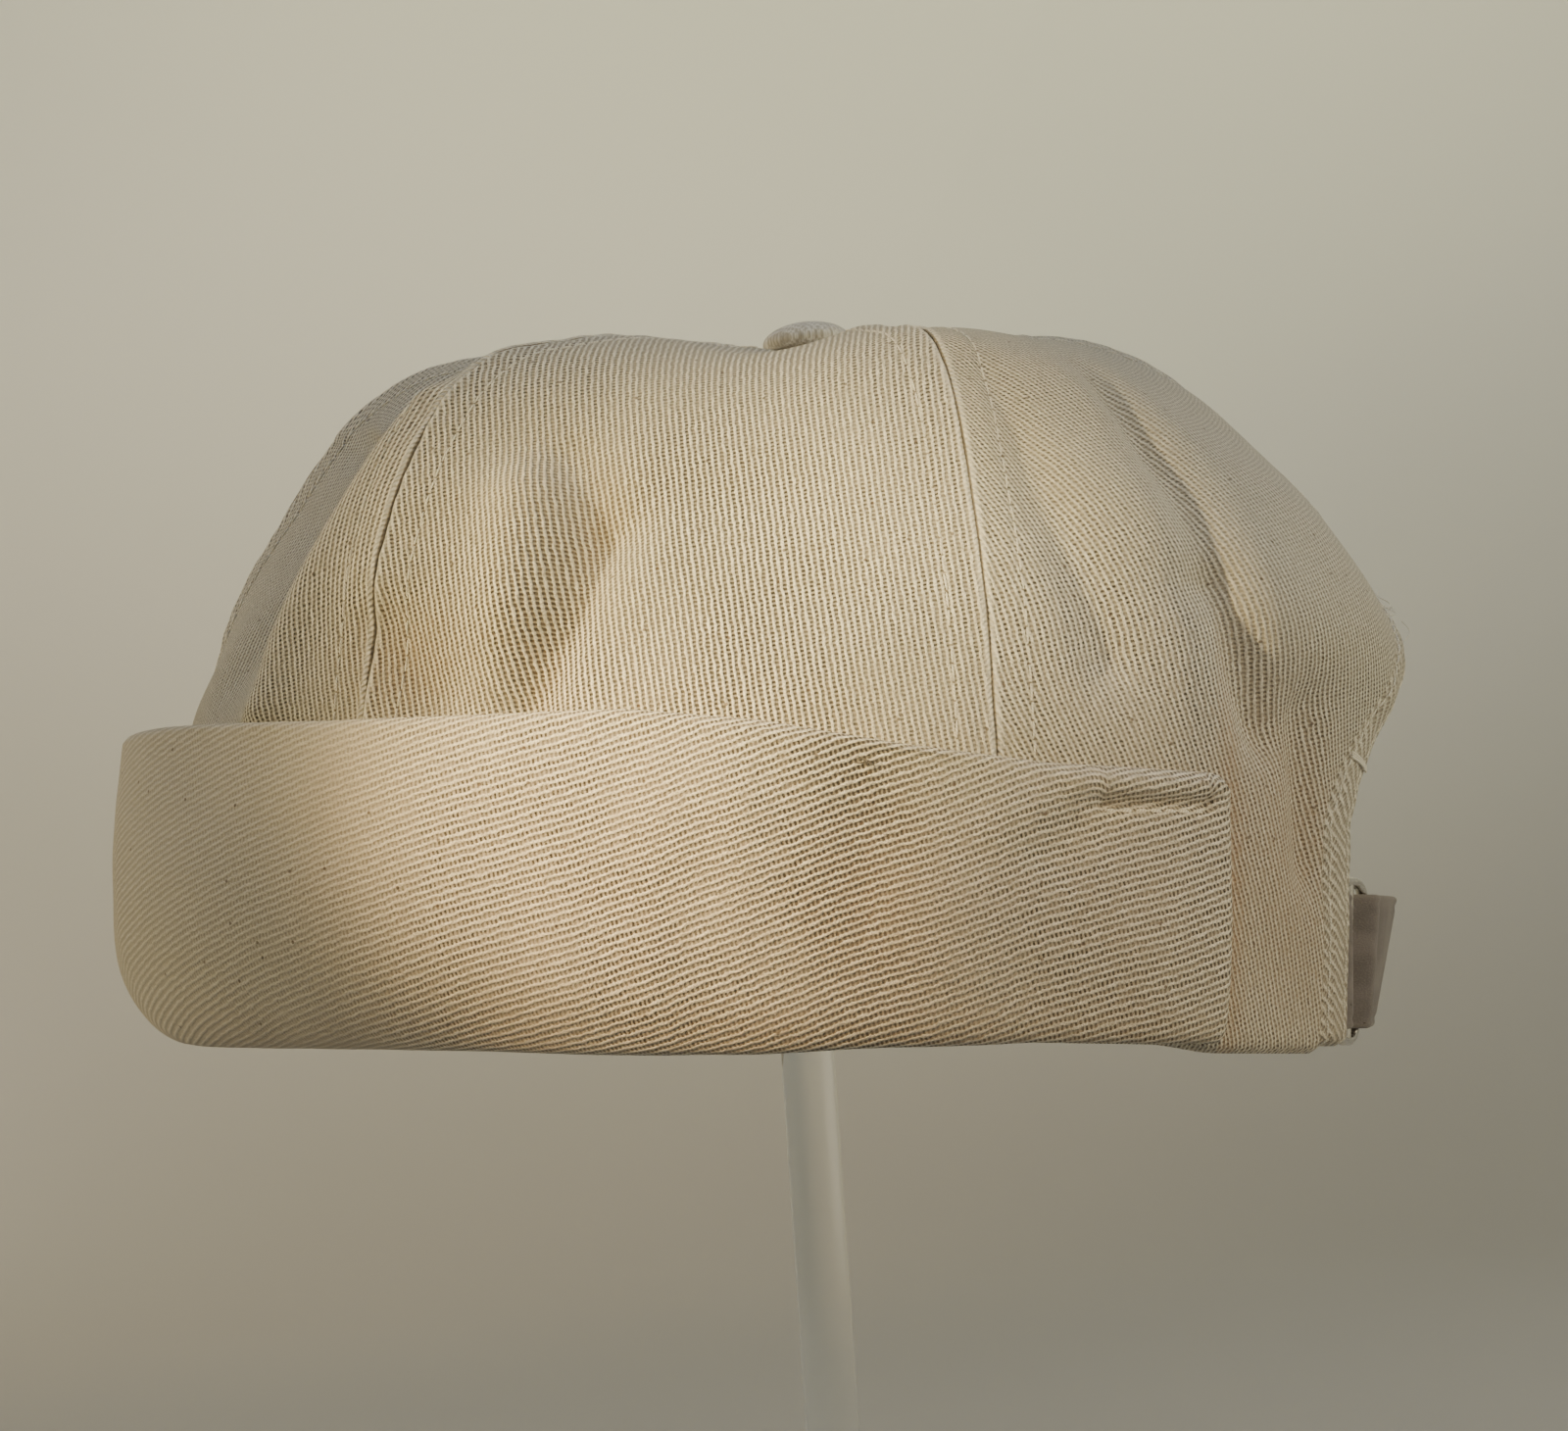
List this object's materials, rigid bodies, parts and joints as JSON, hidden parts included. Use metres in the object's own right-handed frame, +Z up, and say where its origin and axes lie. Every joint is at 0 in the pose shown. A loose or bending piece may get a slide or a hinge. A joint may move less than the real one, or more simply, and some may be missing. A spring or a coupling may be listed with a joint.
{
  "type": "docker hat on a display stand",
  "caption": "Brimless twill cap with a turned-up cuff, a covered top button and a strapped opening at the back, on a plain clear round stand.",
  "frame": {"origin": "middle of the underside of the stand's foot", "axes": "+Z up along the rod; the hat's front faces -Y and the wearer's left side +X"},
  "size_m": [0.1748, 0.2278, 0.2384],
  "materials": {
    "twill": "cream cotton twill, matt, with a diagonal rib about 1.3 mm wide",
    "suede": "soft matt grey-mauve",
    "steel": "bright wire",
    "acrylic": "clear and polished"
  },
  "bodies": {
    "root": {"arch_binding": "twill", "back_strap": "suede", "crown_button": "twill", "crown_panel_back_left": "twill", "crown_panel_back_right": "twill", "crown_panel_front_left": "twill", "crown_panel_front_right": "twill", "crown_panel_left": "twill", "crown_panel_right": "twill", "cuff": "twill", "stand_base": "acrylic", "stand_head": "acrylic", "stand_rod": "acrylic", "strap_slide": "steel"}
  },
  "joints": []
}
